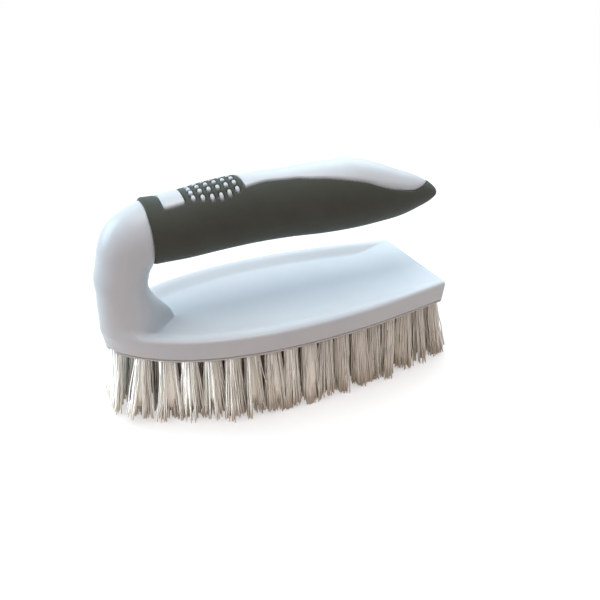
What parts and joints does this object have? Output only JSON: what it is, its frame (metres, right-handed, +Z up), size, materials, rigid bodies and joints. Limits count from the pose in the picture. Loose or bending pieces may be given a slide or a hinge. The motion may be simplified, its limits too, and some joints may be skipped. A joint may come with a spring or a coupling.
{
  "type": "iron-style scrub brush",
  "caption": "Hand scrub brush with a boat-shaped base, bristle tufts underneath, and an iron-style handle with a soft grip.",
  "frame": {"origin": "on the surface the brush stands on, below the middle of its overall length and width", "axes": "+X from the nose and post to the free end of the handle, +Y across the brush, +Z up"},
  "size_m": [0.158, 0.0705, 0.0949],
  "materials": {
    "white_plastic": "smooth moulded, softly glossy",
    "grip_rubber": "matt soft-touch, dark grey-green",
    "block_plastic": "satin moulded",
    "bristle_nylon": "fine cream-white filaments"
  },
  "bodies": {
    "root": {"body_moulding": "white_plastic", "handle_panel": "white_plastic", "soft_grip": "grip_rubber", "bristle_block": "block_plastic", "tuft_row_01": "bristle_nylon", "tuft_row_02": "bristle_nylon", "tuft_row_03": "bristle_nylon", "tuft_row_04": "bristle_nylon", "tuft_row_05": "bristle_nylon", "tuft_row_06": "bristle_nylon", "tuft_row_07": "bristle_nylon", "tuft_row_08": "bristle_nylon", "tuft_row_09": "bristle_nylon", "tuft_row_10": "bristle_nylon", "tuft_row_11": "bristle_nylon", "tuft_row_12": "bristle_nylon", "tuft_row_13": "bristle_nylon", "tuft_row_14": "bristle_nylon", "tuft_row_15": "bristle_nylon", "tuft_row_16": "bristle_nylon", "tuft_row_17": "bristle_nylon", "tuft_row_18": "bristle_nylon"}
  },
  "joints": []
}
